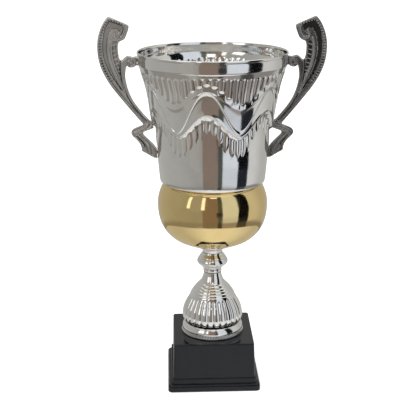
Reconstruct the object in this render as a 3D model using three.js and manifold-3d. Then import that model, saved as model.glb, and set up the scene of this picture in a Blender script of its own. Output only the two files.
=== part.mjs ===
// Two-handled presentation cup on a square plinth.
//
// Frame: millimetres, +Z up. The origin is the centre of the underside of the
// felt that the cup stands on. The handles lie in the XZ plane and the front
// of the cup faces -Y.
//
// Everything is stacked on one M6 tie rod: the plinth, the foot, the stem
// pieces, the gold bowl and the silver cup are clamped between a nut under the
// plinth's roof and a nut on the cup's floor. Each handle is held by two
// screws put through the cup's wall from the inside.

import * as THREE from 'three';
import { mergeVertices } from 'three/addons/utils/BufferGeometryUtils.js';
import Module from 'manifold-3d';

const wasm = await Module();
wasm.setup();

// ---------------------------------------------------------------- dimensions

const GAP = 0.3;                 // clearance kept between touching pieces

// plinth
const PLINTH_TOP_Z = 61.5;
const PLINTH_SKIRT_Z = 0.5;      // the felt stands this far below the skirt
const PLINTH_HALF_TOP = 50.3;
const PLINTH_HALF_FOOT = 51.8;
const PLINTH_CORNER = 3.5;
const PLINTH_ROOF = 3.0;
const LEDGE_Z = 9.6;
const LEDGE_TOP_Z = 16.3;
const LEDGE_HALF = 53.5;
const FLANGE_HALF = 58.0;
const FLANGE_CORNER = 5.5;
const CAVITY_HALF = 47.8;
const RECESS_HALF = 55.2;
const RECESS_Z = 4.0;

// underside pieces
const FELT_HALF = 54.9;
const FELT_T = 1.5;
const COVER_T = 1.9;
const BALLAST_HALF = 45.0;
const BALLAST_T = 6.0;

// M6 tie rod and its hardware
const ROD_R = 3.0;
const ROD_Z0 = 41.0;
const ROD_Z1 = 273.0;
const M6_CLEAR_R = 3.3;
const M6_NUT_AF = 10.0;
const M6_NUT_H = 5.0;
const M6_WASHER_R = 9.0;
const M6_WASHER_T = 1.6;
const ROD_HOLE_R = 3.6;

// M4 handle screws
const M4_R = 2.0;
const M4_LENGTH = 12.0;
const M4_HEAD_R = 3.9;
const M4_HEAD_H = 2.6;
const M4_WASHER_R = 4.0;
const M4_WASHER_T = 0.8;
const M4_CLEAR_R = 2.3;
const SCREW_UPPER_Z = 409.0;
const SCREW_LOWER_Z = 297.0;

// cup and bowl
const SHEET_T = 1.2;
const BOWL_BOTTOM_Z = 174.0;
const BOWL_TOP_Z = 261.1;
const CUP_FLOOR_Z = 261.4;
const RIM_R = 90.3;
const RIM_Z = 419.6;

// handles
const HANDLE_T = 8.0;

const SEG_CUP = 40;
const SEG_BOWL = 32;
const SEG_FOOT = 32;
const SEG_STEM = 20;
const SEG_SMALL = 14;

// ------------------------------------------------------------------- helpers

function signedVolume(pos, idx) {
  let v = 0;
  for (let i = 0; i < idx.length; i += 3) {
    const a = idx[i] * 3, b = idx[i + 1] * 3, c = idx[i + 2] * 3;
    v += pos[a] * (pos[b + 1] * pos[c + 2] - pos[b + 2] * pos[c + 1])
       - pos[a + 1] * (pos[b] * pos[c + 2] - pos[b + 2] * pos[c])
       + pos[a + 2] * (pos[b] * pos[c + 1] - pos[b + 1] * pos[c]);
  }
  return v / 6;
}

// Welds a three.js geometry, drops its empty triangles and turns its faces out.
function weld(geometry) {
  const g = geometry.clone();
  for (const name of Object.keys(g.attributes)) {
    if (name !== 'position') g.deleteAttribute(name);
  }
  const m = mergeVertices(g, 1e-4);
  const pos = Float32Array.from(m.attributes.position.array);
  const src = m.index.array;
  const tri = [];
  for (let i = 0; i < src.length; i += 3) {
    const [a, b, c] = [src[i], src[i + 1], src[i + 2]];
    if (a !== b && b !== c && c !== a) tri.push(a, b, c);
  }
  if (signedVolume(pos, tri) < 0) {
    for (let i = 0; i < tri.length; i += 3) [tri[i + 1], tri[i + 2]] = [tri[i + 2], tri[i + 1]];
  }
  return { pos, tri: Uint32Array.from(tri) };
}

function solid(geometry) {
  const { pos, tri } = weld(geometry);
  return new wasm.Manifold(new wasm.Mesh({ numProp: 3, vertProperties: pos, triVerts: tri }));
}

function geometryOf(manifold) {
  const m = manifold.getMesh();
  const g = new THREE.BufferGeometry();
  g.setAttribute('position', new THREE.BufferAttribute(Float32Array.from(m.vertProperties), 3));
  g.setIndex(new THREE.BufferAttribute(Uint32Array.from(m.triVerts), 1));
  g.computeVertexNormals();
  return g;
}

function geometryFromWeld(geometry) {
  const { pos, tri } = weld(geometry);
  const g = new THREE.BufferGeometry();
  g.setAttribute('position', new THREE.BufferAttribute(pos, 3));
  g.setIndex(new THREE.BufferAttribute(tri, 1));
  g.computeVertexNormals();
  return g;
}

// Turned piece: points are [radius, height]; the profile closes on itself
// unless it starts and ends on the axis.
function turned(points, segments) {
  const pts = points.map(([r, z]) => new THREE.Vector2(r, z));
  if (points[0][0] > 0) pts.push(pts[0].clone());
  return new THREE.LatheGeometry(pts, segments).rotateX(Math.PI / 2);
}

function ring(rIn, rOut, z0, z1, segments) {
  return turned([[rIn, z0], [rOut, z0], [rOut, z1], [rIn, z1]], segments);
}

function rod(radius, z0, z1, segments) {
  return new THREE.CylinderGeometry(radius, radius, z1 - z0, segments)
    .rotateX(Math.PI / 2).translate(0, 0, (z0 + z1) / 2);
}

function roundedSquare(half, corner, steps = 3) {
  const s = new THREE.Shape();
  const c = half - corner;
  const pts = [];
  for (const [sx, sy, a0] of [[1, 1, 0], [-1, 1, 90], [-1, -1, 180], [1, -1, 270]]) {
    for (let i = 0; i <= steps; i++) {
      const a = (a0 + (90 * i) / steps) * Math.PI / 180;
      pts.push(new THREE.Vector2(sx * c + corner * Math.cos(a), sy * c + corner * Math.sin(a)));
    }
  }
  s.setFromPoints(pts);
  return s;
}

// Square block with rounded corners between two heights. The plan is `half` at
// the foot and halfTop at the top, and `edge` rounds the upper edge.
function block(half, halfTop, corner, z0, z1, edge = 0, edgeSteps = 2) {
  const depth = z1 - z0;
  // With an edge, the lower end is rounded too and reaches down past z0 by the edge.
  const taper = (g, zBase) => {
    const p = g.attributes.position;
    for (let i = 0; i < p.count; i++) {
      const z = p.getZ(i) + zBase;
      const k = 1 + (halfTop / half - 1) * ((z - z0) / depth);
      p.setXYZ(i, p.getX(i) * k, p.getY(i) * k, z);
    }
    return g;
  };
  if (edge === 0) {
    return taper(new THREE.ExtrudeGeometry(roundedSquare(half, corner), { depth, bevelEnabled: false }), z0);
  }
  const e = new THREE.ExtrudeGeometry(roundedSquare(half - edge, Math.max(corner - edge, 0.5)), {
    depth: depth - edge, bevelEnabled: true, bevelThickness: edge, bevelSize: edge, bevelSegments: edgeSteps,
  });
  return taper(e, z0);
}

// Moves a profile of [radius, height] points inwards by t along its normals.
function inset(points, t) {
  return points.map(([r, z], i) => {
    const a = points[Math.max(i - 1, 0)], b = points[Math.min(i + 1, points.length - 1)];
    const dr = b[0] - a[0], dz = b[1] - a[1];
    const l = Math.hypot(dr, dz);
    return [r - (dz / l) * t, z + (dr / l) * t];
  });
}

// ----------------------------------------------------------------- materials

const look = (color, roughness, metalness) => new THREE.MeshStandardMaterial({ color, roughness, metalness });
const silver = () => look(0xc9cac8, 0.10, 1.0);
const castMetal = () => look(0x8f8a86, 0.25, 1.0);
const gold = () => look(0xd8bd72, 0.10, 1.0);
const blackPlastic = () => look(0x1d1f22, 0.18, 0.0);
const steel = () => look(0x9a9a98, 0.35, 1.0);
const iron = () => look(0x4a4a4c, 0.6, 0.9);
const board = () => look(0x2f2c2a, 0.85, 0.0);
const felt = () => look(0x1b1d1f, 0.95, 0.0);

const trophy = new THREE.Group();
function add(name, geometry, material) {
  const mesh = new THREE.Mesh(geometry, material);
  mesh.name = name;
  trophy.add(mesh);
  return mesh;
}

// -------------------------------------------------------------------- plinth

const rodHole = (z0, z1) => solid(rod(ROD_HOLE_R, z0, z1, SEG_SMALL));

{
  const body = solid(block(PLINTH_HALF_FOOT, PLINTH_HALF_TOP, PLINTH_CORNER, LEDGE_TOP_Z - 2, PLINTH_TOP_Z, 1.2, 2))
    .add(solid(block(LEDGE_HALF, LEDGE_HALF, 4.0, LEDGE_Z - 2, LEDGE_TOP_Z)))
    .add(solid(block(FLANGE_HALF, FLANGE_HALF, FLANGE_CORNER, PLINTH_SKIRT_Z, LEDGE_Z, 3.6, 3)));
  const cavity = solid(block(CAVITY_HALF, CAVITY_HALF - 0.6, 2.5, -1, PLINTH_TOP_Z - PLINTH_ROOF))
    .add(solid(block(RECESS_HALF, RECESS_HALF, 3.4, -1.5, RECESS_Z)));
  const below = solid(new THREE.BoxGeometry(160, 160, 20).translate(0, 0, PLINTH_SKIRT_Z - 10));
  add('plinth', geometryOf(body.subtract(below).subtract(cavity).subtract(rodHole(50, 70))), blackPlastic());
}

add('felt_pad', geometryFromWeld(block(FELT_HALF, FELT_HALF, 3.2, 0, FELT_T)), felt());
add('base_cover', geometryFromWeld(block(FELT_HALF, FELT_HALF, 3.2, FELT_T + GAP, FELT_T + GAP + COVER_T)), board());

const ballastTop = PLINTH_TOP_Z - PLINTH_ROOF - GAP;
add('ballast_plate', geometryOf(
  solid(block(BALLAST_HALF, BALLAST_HALF, 3, ballastTop - BALLAST_T, ballastTop)).subtract(rodHole(40, 70))), iron());

const baseWasherTop = ballastTop - BALLAST_T - GAP;
add('base_washer', geometryFromWeld(ring(M6_CLEAR_R, M6_WASHER_R, baseWasherTop - M6_WASHER_T, baseWasherTop, 24)), steel());

function hexNut(z0) {
  const hex = new THREE.CylinderGeometry(M6_NUT_AF / Math.sqrt(3), M6_NUT_AF / Math.sqrt(3), M6_NUT_H, 6)
    .rotateX(Math.PI / 2).translate(0, 0, z0 + M6_NUT_H / 2);
  return geometryOf(solid(hex).subtract(solid(rod(M6_CLEAR_R, z0 - 1, z0 + M6_NUT_H + 1, SEG_SMALL))));
}
add('base_nut', hexNut(baseWasherTop - M6_WASHER_T - GAP - M6_NUT_H), steel());
add('tie_rod', geometryFromWeld(rod(ROD_R, ROD_Z0, ROD_Z1, 16)), steel());

// ------------------------------------------------------------- foot and stem

const ringFoot = PLINTH_TOP_Z + GAP;
add('foot_ring', geometryFromWeld(turned([
  [29.6, ringFoot], [37.6, ringFoot], [39.5, 64.2], [39.8, 66.0], [39.3, 67.9], [36.7, 73.2], [31.2, 76.2],
  [31.0, 78.4], [29.6, 78.4],
], SEG_FOOT)), silver());

add('foot_bell', geometryFromWeld(turned([
  [32.6, 77.2], [35.6, 76.9], [38.3, 81.0], [38.6, 86.0], [37.6, 91.5], [34.0, 100.8], [27.9, 112.0],
  [20.7, 123.0], [15.2, 128.4], [12.6, 133.8], [11.2, 141.3], [ROD_HOLE_R, 141.3], [ROD_HOLE_R, 138.8],
  [8.9, 138.8], [12.0, 127.6], [18.0, 121.6], [31.6, 100.0], [35.5, 88.0], [35.5, 83.6], [29.6, 81.4],
  [29.6, 78.7], [32.6, 78.7],
], SEG_FOOT)), silver());

add('neck_ring', geometryFromWeld(turned([
  [ROD_HOLE_R, 141.6], [10.9, 141.6], [11.7, 142.7], [11.8, 143.7], [11.4, 144.9], [10.9, 145.4], [ROD_HOLE_R, 145.4],
], SEG_STEM)), silver());

add('stem_knob', geometryFromWeld(turned([
  [ROD_HOLE_R, 145.7], [11.5, 145.7], [12.9, 147.4], [15.2, 150.0], [18.3, 152.8], [19.5, 155.2], [19.4, 157.0],
  [18.6, 158.6], [17.2, 161.0], [15.2, 163.6], [13.2, 166.4], [12.9, 167.6], [ROD_HOLE_R, 167.6],
], SEG_STEM)), silver());

add('bowl_collar', geometryFromWeld(turned([
  [ROD_HOLE_R, 167.9], [12.7, 167.9], [12.8, 170.0], [13.6, 172.2], [15.0, 173.4], [15.0, 173.7], [ROD_HOLE_R, 173.7],
], SEG_STEM)), silver());

// ---------------------------------------------------------------------- bowl

const bowlOuter = [
  [14.5, BOWL_BOTTOM_Z], [23.6, 176.9], [41.3, 185.1], [49.9, 190.0], [56.0, 195.6], [61.5, 203.3],
  [65.9, 214.0], [68.05, 229.0], [68.05, 234.0], [66.5, 245.0], [63.5, 253.0], [60.6, 258.8], [56.5, BOWL_TOP_Z],
];
const bowlInner = inset([
  [17.5, BOWL_BOTTOM_Z + 0.05], [41.3, 185.1], [56.0, 195.6], [65.9, 214.0], [68.05, 231.5], [66.5, 245.0],
  [61.3, 257.4],
], SHEET_T + 0.25);
add('bowl_bulb', geometryFromWeld(turned([
  [ROD_HOLE_R, BOWL_BOTTOM_Z], ...bowlOuter, [54.5, BOWL_TOP_Z], [54.5, BOWL_TOP_Z - SHEET_T],
  ...bowlInner.slice(1).reverse(), [14.0, BOWL_BOTTOM_Z + SHEET_T], [ROD_HOLE_R, BOWL_BOTTOM_Z + SHEET_T],
], SEG_BOWL)), gold());

add('spacer_tube', geometryFromWeld(ring(M6_CLEAR_R + 0.2, 6.0, BOWL_BOTTOM_Z + SHEET_T + GAP, CUP_FLOOR_Z - GAP, 20)), steel());

// ----------------------------------------------------------------------- cup

const cupOuter = [
  [62.4, CUP_FLOOR_Z], [63.7, 261.9], [64.4, 263.4], [66.0, 276.0], [67.6, 304.0], [68.2, 319.0],
  [73.9, 336.0], [78.4, 365.0], [82.2, 382.0], [86.6, 396.7], [87.7, 402.4], [89.2, 404.6], [89.6, 411.0],
  [89.4, 416.0], [RIM_R, 417.6], [RIM_R, 418.6], [89.6, RIM_Z],
];
const cupInner = [
  [88.4, RIM_Z], [88.1, 416.0], [88.1, 404.9], [86.4, 402.7], [85.3, 396.7], [77.1, 365.0], [72.6, 336.4],
  [67.0, 319.2], [66.0, 297.0], [64.4, 272.0], [63.0, 264.0], [61.8, CUP_FLOOR_Z + SHEET_T],
];
const screwHole = (x0, x1, z, r) => solid(
  new THREE.CylinderGeometry(r, r, Math.abs(x1 - x0), 12).rotateZ(Math.PI / 2).translate((x0 + x1) / 2, 0, z));
{
  let cup = solid(turned([
    [ROD_HOLE_R, CUP_FLOOR_Z], ...cupOuter, ...cupInner, [ROD_HOLE_R, CUP_FLOOR_Z + SHEET_T],
  ], SEG_CUP));
  for (const s of [-1, 1]) {
    cup = cup.subtract(screwHole(s * 80, s * 96, SCREW_UPPER_Z, M4_CLEAR_R))
      .subtract(screwHole(s * 58, s * 74, SCREW_LOWER_Z, M4_CLEAR_R));
  }
  add('cup_body', geometryOf(cup), silver());
}

add('cup_washer', geometryFromWeld(
  ring(M6_CLEAR_R, M6_WASHER_R, CUP_FLOOR_Z + SHEET_T + GAP, CUP_FLOOR_Z + SHEET_T + GAP + M6_WASHER_T, 24)), steel());
add('cup_nut', hexNut(CUP_FLOOR_Z + SHEET_T + 2 * GAP + M6_WASHER_T), steel());

// ------------------------------------------------------------------- handles

// Outline of the right-hand handle in XZ. The ends run into the cup and are
// trimmed to its wall below.
const handleOutline = [
  // foot, lower hook and the long back
  [62.0, 289.6], [67.5, 289.6], [70.0, 289.9], [73.0, 291.0], [76.0, 293.0], [80.0, 295.4], [84.3, 297.7],
  [86.0, 299.2], [86.5, 302.5], [87.5, 306.2], [89.3, 309.5], [92.2, 313.0], [95.3, 316.0], [97.6, 318.6],
  [98.6, 321.2], [98.0, 323.6], [96.5, 325.3], [93.5, 327.0], [90.0, 328.4], [87.0, 329.6], [84.9, 330.6],
  [84.2, 331.8], [85.0, 333.6], [86.9, 335.8], [90.5, 340.0], [95.5, 346.0], [100.5, 352.0], [105.0, 357.6],
  [109.5, 363.3], [113.7, 368.6], [117.6, 373.6], [124.4, 383.6], [127.3, 388.7], [129.8, 393.7],
  [133.6, 403.6], [135.6, 413.4], [136.2, 423.4], [136.0, 428.4],
  [135.3, 434.4], [134.1, 439.4], [132.6, 444.0], [130.7, 448.4], [128.5, 452.6], [126.0, 456.2], [123.3, 459.4],
  [121.6, 459.6],
  // top edge
  [118.0, 458.2], [106.0, 453.1], [100.5, 450.6], [99.2, 449.7],
  // throat between the blade and the rim
  [98.7, 448.0], [99.2, 445.0], [100.3, 442.0], [102.8, 435.9], [104.0, 434.1], [106.0, 432.7],
  [108.5, 431.6], [110.5, 430.3], [111.4, 428.2], [111.9, 424.0], [111.3, 414.0], [110.4, 410.6],
  [109.2, 408.7], [107.6, 409.0], [105.4, 411.0], [103.0, 413.1], [101.0, 414.1], [99.0, 413.9], [96.8, 413.2],
  [94.5, 412.9], [91.5, 413.3], [84.0, 413.4],
  // scroll under the rim and the finger opening
  [84.0, 402.9], [90.7, 402.9], [92.0, 401.9], [94.5, 400.8], [97.0, 400.5], [99.5, 401.0], [101.2, 402.6],
  [102.5, 401.2], [103.3, 398.5], [104.1, 391.0], [103.0, 381.5], [101.9, 376.5],
  [100.2, 371.0], [98.0, 365.5], [95.3, 360.3], [92.3, 355.6], [88.8, 350.8], [81.0, 341.5],
  [77.5, 337.5], [75.6, 336.0], [70.0, 334.6],
  // the elbow that bears on the cup and the lower opening
  [66.0, 327.9], [71.3, 327.3], [74.0, 326.1], [77.0, 325.0], [80.5, 323.8], [83.3, 322.4], [84.2, 320.8],
  [83.6, 318.7], [81.5, 316.3], [78.5, 313.4], [75.5, 310.5], [72.8, 307.7], [70.5, 304.9], [69.0, 302.8],
  [66.5, 300.4], [62.0, 299.4],
];

// The space the cup needs, with clearance, as a plain solid of revolution.
const cupKeepOut = solid(turned([
  [0, 255], [62.4 + GAP, 255], [63.7 + GAP, 261.9], ...cupOuter.slice(2, -1).map(([r, z]) => [r + GAP, z]),
  [89.6 + GAP, RIM_Z + GAP], [0, RIM_Z + GAP],
], SEG_CUP));

function handle(side) {
  const pts = handleOutline.map(([x, z]) => new THREE.Vector2(side * x, z));
  const plate = new THREE.ExtrudeGeometry(new THREE.Shape(pts), { depth: HANDLE_T, bevelEnabled: false })
    .rotateX(Math.PI / 2).translate(0, HANDLE_T / 2, 0);
  return geometryOf(solid(plate)
    .subtract(cupKeepOut)
    .subtract(screwHole(side * 84, side * 99.2, SCREW_UPPER_Z, M4_CLEAR_R))
    .subtract(screwHole(side * 60, side * 77.2, SCREW_LOWER_Z, M4_CLEAR_R)));
}
add('handle_left', handle(-1), castMetal());
add('handle_right', handle(1), castMetal());

// Pan-head screw whose shank starts at the origin and runs along +Z.
const screw = turned([
  [0, -M4_HEAD_H], [2.6, -M4_HEAD_H + 0.25], [M4_HEAD_R, -M4_HEAD_H + 1.1], [M4_HEAD_R, 0], [M4_R, 0],
  [M4_R, M4_LENGTH], [0, M4_LENGTH],
], 14);
const washer = ring(M4_CLEAR_R, M4_WASHER_R, -M4_WASHER_T, 0, SEG_SMALL);

// wallX is the radius of the cup's inner wall at the screw.
for (const [side, sideName] of [[-1, 'left'], [1, 'right']]) {
  for (const [z, level, wallX] of [[SCREW_UPPER_Z, 'upper', 88.1], [SCREW_LOWER_Z, 'lower', 66.0]]) {
    const turn = (g, x) => g.clone().rotateY(side * Math.PI / 2).translate(side * x, 0, z);
    const face = wallX - 0.5;
    add(`handle_washer_${sideName}_${level}`, geometryFromWeld(turn(washer, face)), steel());
    add(`handle_screw_${sideName}_${level}`, geometryFromWeld(turn(screw, face - M4_WASHER_T - GAP)), steel());
  }
}

export default trophy;
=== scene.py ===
import math

import bpy
import numpy as np
from mathutils import Matrix, Vector
from mathutils.geometry import delaunay_2d_cdt


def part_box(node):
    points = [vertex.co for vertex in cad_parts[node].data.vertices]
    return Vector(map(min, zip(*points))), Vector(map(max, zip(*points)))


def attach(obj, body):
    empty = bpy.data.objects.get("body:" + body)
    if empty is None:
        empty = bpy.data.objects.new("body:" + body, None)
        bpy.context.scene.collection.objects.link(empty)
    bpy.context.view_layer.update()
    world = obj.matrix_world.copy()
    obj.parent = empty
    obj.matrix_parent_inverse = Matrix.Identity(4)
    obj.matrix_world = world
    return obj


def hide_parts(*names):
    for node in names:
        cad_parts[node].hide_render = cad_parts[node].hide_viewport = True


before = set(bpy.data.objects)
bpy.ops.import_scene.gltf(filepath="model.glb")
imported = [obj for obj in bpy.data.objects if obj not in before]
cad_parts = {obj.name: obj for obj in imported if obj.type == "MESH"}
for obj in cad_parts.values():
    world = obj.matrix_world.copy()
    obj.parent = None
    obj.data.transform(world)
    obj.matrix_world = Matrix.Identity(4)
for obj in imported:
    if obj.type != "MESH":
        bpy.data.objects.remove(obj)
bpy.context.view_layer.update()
sc = bpy.context.scene
MM = 0.001

# --------------------------------------------------------------------- helpers


def new_mesh(name, verts_mm, faces, mat, replaces=(), sharp=40.0, point_attr=None, world=None):
    v = np.asarray(verts_mm, float) * MM
    me = bpy.data.meshes.new(name)
    me.from_pydata(v.tolist(), [], [list(map(int, f)) for f in faces])
    me.update()
    if point_attr:
        for key, vals in point_attr.items():
            at = me.attributes.new(key, "FLOAT", "POINT")
            at.data.foreach_set("value", np.asarray(vals, np.float32))
    me.shade_smooth()
    if sharp:
        me.set_sharp_from_angle(angle=math.radians(sharp))
    ob = bpy.data.objects.new(name, me)
    sc.collection.objects.link(ob)
    me.materials.append(mat)
    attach(ob, "root")
    if replaces:
        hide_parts(*replaces)
    return ob


def volume(v, faces):
    t = []
    for f in faces:
        t.append((f[0], f[1], f[2]))
        if len(f) == 4:
            t.append((f[0], f[2], f[3]))
    t = np.array(t)
    v = np.asarray(v)
    return float(np.einsum("ij,ij->i", v[t[:, 0]], np.cross(v[t[:, 1]], v[t[:, 2]])).sum()) / 6


def outward(v, faces):
    return [tuple(reversed(f)) for f in faces] if volume(v, faces) < 0 else faces


def torus_grid(P):
    """Closed in both directions: P is (rows, columns, 3)."""
    m, n, _ = P.shape
    i = np.arange(m)[:, None]
    j = np.arange(n)[None, :]
    a = i * n + j
    b = i * n + (j + 1) % n
    c = ((i + 1) % m) * n + (j + 1) % n
    d = ((i + 1) % m) * n + j
    F = np.stack([a, b, c, d], -1).reshape(-1, 4)
    V = P.reshape(-1, 3)
    return V, outward(V, [tuple(f) for f in F])


def capped_grid(P, bottom, top):
    """Rows that close on one point at each end."""
    m, n, _ = P.shape
    V = np.vstack([P.reshape(-1, 3), [bottom], [top]])
    F = []
    for i in range(m - 1):
        for j in range(n):
            F.append((i * n + j, i * n + (j + 1) % n, (i + 1) * n + (j + 1) % n, (i + 1) * n + j))
    kb, kt = m * n, m * n + 1
    for j in range(n):
        F.append((kb, (j + 1) % n, j))
        F.append((kt, (m - 1) * n + j, (m - 1) * n + (j + 1) % n))
    return V, outward(V, F)


def spin(profile, n, start=0.0):
    """profile (r, z) -> (rows, columns, 3)."""
    p = np.asarray(profile, float)
    a = start + np.arange(n) * 2 * math.pi / n
    return np.stack([p[:, 0, None] * np.sin(a), -p[:, 0, None] * np.cos(a), np.repeat(p[:, 1, None], n, 1)], -1)


def dens(points, step):
    """Resamples a polyline at about that step."""
    p = np.asarray(points, float)
    seg = np.hypot(*np.diff(p, axis=0).T)
    s = np.r_[0, np.cumsum(seg)]
    k = max(int(round(s[-1] / step)), 2)
    t = np.linspace(0, s[-1], k + 1)
    return np.stack([np.interp(t, s, p[:, i]) for i in range(p.shape[1])], 1)


def soft(points, step=0.6, sigma=1.0):
    """Smooths a measured profile and keeps its two ends."""
    q = dens(points, 0.15)
    k = int(4 * sigma / 0.15)
    if k > 0:
        w = np.exp(-0.5 * (np.arange(-k, k + 1) * 0.15 / sigma) ** 2)
        w /= w.sum()
        lead = 2 * q[0] - q[k:0:-1] if len(q) > k else np.repeat(q[:1], k, 0)
        tail = 2 * q[-1] - q[-2:-k - 2:-1] if len(q) > k else np.repeat(q[-1:], k, 0)
        e = np.vstack([lead, q, tail])
        q = np.stack([np.convolve(e[:, i], w, "valid") for i in range(2)], 1)
    return dens(q, step)


def fillet(points, radius, steps=3):
    """Rounds the corners of an open (r, z) polyline."""
    p = [np.array(a, float) for a in points]
    out = [p[0]]
    for i in range(1, len(p) - 1):
        a, b, c = p[i - 1], p[i], p[i + 1]
        la, lc = np.linalg.norm(a - b), np.linalg.norm(c - b)
        r = min(radius, 0.45 * la, 0.45 * lc)
        s, e = b + (a - b) / la * r, b + (c - b) / lc * r
        for k in range(steps + 1):
            t = k / steps
            out.append((1 - t) ** 2 * s + 2 * t * (1 - t) * b + t * t * e)
    out.append(p[-1])
    return np.array(out)


def sstep(x, a, b):
    t = np.clip((x - a) / (b - a), 0, 1)
    return t * t * (3 - 2 * t)


# ------------------------------------------------------------------- materials


def nodes_of(name):
    m = bpy.data.materials.new(name)
    m.use_nodes = True
    nt = m.node_tree
    nt.nodes.clear()
    out = nt.nodes.new("ShaderNodeOutputMaterial")
    b = nt.nodes.new("ShaderNodeBsdfPrincipled")
    nt.links.new(b.outputs[0], out.inputs[0])
    return m, nt, b


def node(nt, kind, **vals):
    n = nt.nodes.new(kind)
    for k, v in vals.items():
        if k in n.inputs:
            n.inputs[k].default_value = v
        else:
            setattr(n, k, v)
    return n


def noise(nt, coord, scale, detail=4.0, rough=0.55):
    n = node(nt, "ShaderNodeTexNoise")
    n.inputs["Scale"].default_value = scale
    n.inputs["Detail"].default_value = detail
    n.inputs["Roughness"].default_value = rough
    nt.links.new(coord, n.inputs["Vector"])
    return n.outputs["Fac"]


def ramp(nt, fac, stops, mode="LINEAR"):
    r = node(nt, "ShaderNodeValToRGB")
    e = r.color_ramp.elements
    while len(e) < len(stops):
        e.new(0.5)
    for i, (p, c) in enumerate(stops):
        e[i].position = p
        e[i].color = (*c, 1) if len(c) == 3 else c
    r.color_ramp.interpolation = mode
    nt.links.new(fac, r.inputs[0])
    return r.outputs[0]


def remap(nt, fac, a, b, lo=0.3, hi=0.7):
    m = node(nt, "ShaderNodeMapRange")
    m.inputs["From Min"].default_value = lo
    m.inputs["From Max"].default_value = hi
    m.inputs["To Min"].default_value = a
    m.inputs["To Max"].default_value = b
    nt.links.new(fac, m.inputs["Value"])
    return m.outputs[0]


def bump(nt, b, height, strength, distance):
    n = node(nt, "ShaderNodeBump")
    n.inputs["Strength"].default_value = strength
    n.inputs["Distance"].default_value = distance
    nt.links.new(height, n.inputs["Height"])
    nt.links.new(n.outputs[0], b.inputs["Normal"])
    return n


def coord(nt):
    return node(nt, "ShaderNodeTexCoord").outputs["Object"]


def plated(name, light, dark, rlo, rhi, spin_lines=0.0):
    """Bright plated metal: faint cloudy tarnish, polishing haze, very fine scratches."""
    m, nt, b = nodes_of(name)
    c = coord(nt)
    n1 = noise(nt, c, 26.0, 5.0, 0.6)
    # painted shade: the colour is mixed towards near-black by the point attribute set on undercuts and troughs
    at = node(nt, "ShaderNodeAttribute", attribute_name="painted_shade")
    mix = node(nt, "ShaderNodeMix", data_type="RGBA")
    nt.links.new(at.outputs["Fac"], mix.inputs["Factor"])
    nt.links.new(ramp(nt, n1, [(0.25, dark), (0.62, light)]), mix.inputs["A"])
    mix.inputs["B"].default_value = (0.05, 0.048, 0.047, 1)
    nt.links.new(mix.outputs["Result"], b.inputs["Base Color"])
    n2 = noise(nt, c, 90.0, 3.0, 0.6)
    nt.links.new(remap(nt, n2, rlo, rhi), b.inputs["Roughness"])
    b.inputs["Metallic"].default_value = 1.0
    # hand-polishing scratches: noise stretched along the turning direction
    mp = node(nt, "ShaderNodeMapping")
    mp.inputs["Scale"].default_value = (160.0, 160.0, 2600.0)
    nt.links.new(c, mp.inputs["Vector"])
    n3 = noise(nt, mp.outputs[0], 1.0, 2.0, 0.5)
    n4 = noise(nt, c, 45.0, 2.0, 0.5)
    ad = node(nt, "ShaderNodeMath", operation="MULTIPLY_ADD")
    nt.links.new(n3, ad.inputs[0])
    ad.inputs[1].default_value = 0.10
    nt.links.new(n4, ad.inputs[2])
    bump(nt, b, ad.outputs[0], 0.35, 0.00016)
    return m


silver = plated("silver_plate_bright", (0.90, 0.895, 0.88), (0.80, 0.785, 0.755), 0.045, 0.12)
silver_in = silver
gold = plated("gold_plate_bright", (0.90, 0.705, 0.35), (0.82, 0.62, 0.27), 0.05, 0.12)


def cast_material():
    m, nt, b = nodes_of("cast_nickel_painted_shade")
    c = coord(nt)
    # painted shade: the colour is mixed towards near-black by the point attribute set in the handle recesses and over
    # most of the right handle
    at = node(nt, "ShaderNodeAttribute", attribute_name="painted_shade")
    n1 = noise(nt, c, 60.0, 5.0, 0.62)
    base = ramp(nt, n1, [(0.28, (0.52, 0.50, 0.475)), (0.68, (0.68, 0.665, 0.645))])
    mix = node(nt, "ShaderNodeMix", data_type="RGBA")
    nt.links.new(at.outputs["Fac"], mix.inputs["Factor"])
    nt.links.new(base, mix.inputs["A"])
    mix.inputs["B"].default_value = (0.030, 0.027, 0.027, 1)
    nt.links.new(mix.outputs["Result"], b.inputs["Base Color"])
    n2 = noise(nt, c, 210.0, 3.0, 0.6)
    r = remap(nt, n2, 0.12, 0.20)
    rr = node(nt, "ShaderNodeMath", operation="MULTIPLY_ADD")
    nt.links.new(at.outputs["Fac"], rr.inputs[0])
    rr.inputs[1].default_value = 0.12
    nt.links.new(r, rr.inputs[2])
    nt.links.new(rr.outputs[0], b.inputs["Roughness"])
    b.inputs["Metallic"].default_value = 1.0
    n3 = noise(nt, c, 420.0, 3.0, 0.6)
    bump(nt, b, n3, 0.12, 0.0002)
    return m


cast = cast_material()


def plastic_material():
    m, nt, b = nodes_of("gloss_black_moulding")
    c = coord(nt)
    n1 = noise(nt, c, 14.0, 4.0, 0.6)
    nt.links.new(ramp(nt, n1, [(0.3, (0.0025, 0.0036, 0.0056)), (0.7, (0.0042, 0.0054, 0.0076))]), b.inputs["Base Color"])
    n2 = noise(nt, c, 120.0, 5.0, 0.65)
    nt.links.new(remap(nt, n2, 0.035, 0.085), b.inputs["Roughness"])
    b.inputs["Specular IOR Level"].default_value = 0.36
    n3 = noise(nt, c, 34.0, 2.0, 0.5)
    bump(nt, b, n3, 0.2, 0.00018)
    return m


plastic = plastic_material()


def steel_material():
    m, nt, b = nodes_of("zinc_plated_steel")
    c = coord(nt)
    n1 = noise(nt, c, 150.0, 4.0, 0.6)
    nt.links.new(ramp(nt, n1, [(0.3, (0.46, 0.46, 0.44)), (0.7, (0.66, 0.665, 0.66))]), b.inputs["Base Color"])
    n2 = noise(nt, c, 420.0, 3.0, 0.6)
    nt.links.new(remap(nt, n2, 0.24, 0.42), b.inputs["Roughness"])
    b.inputs["Metallic"].default_value = 1.0
    bump(nt, b, n2, 0.2, 0.0002)
    return m


steel = steel_material()


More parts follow.
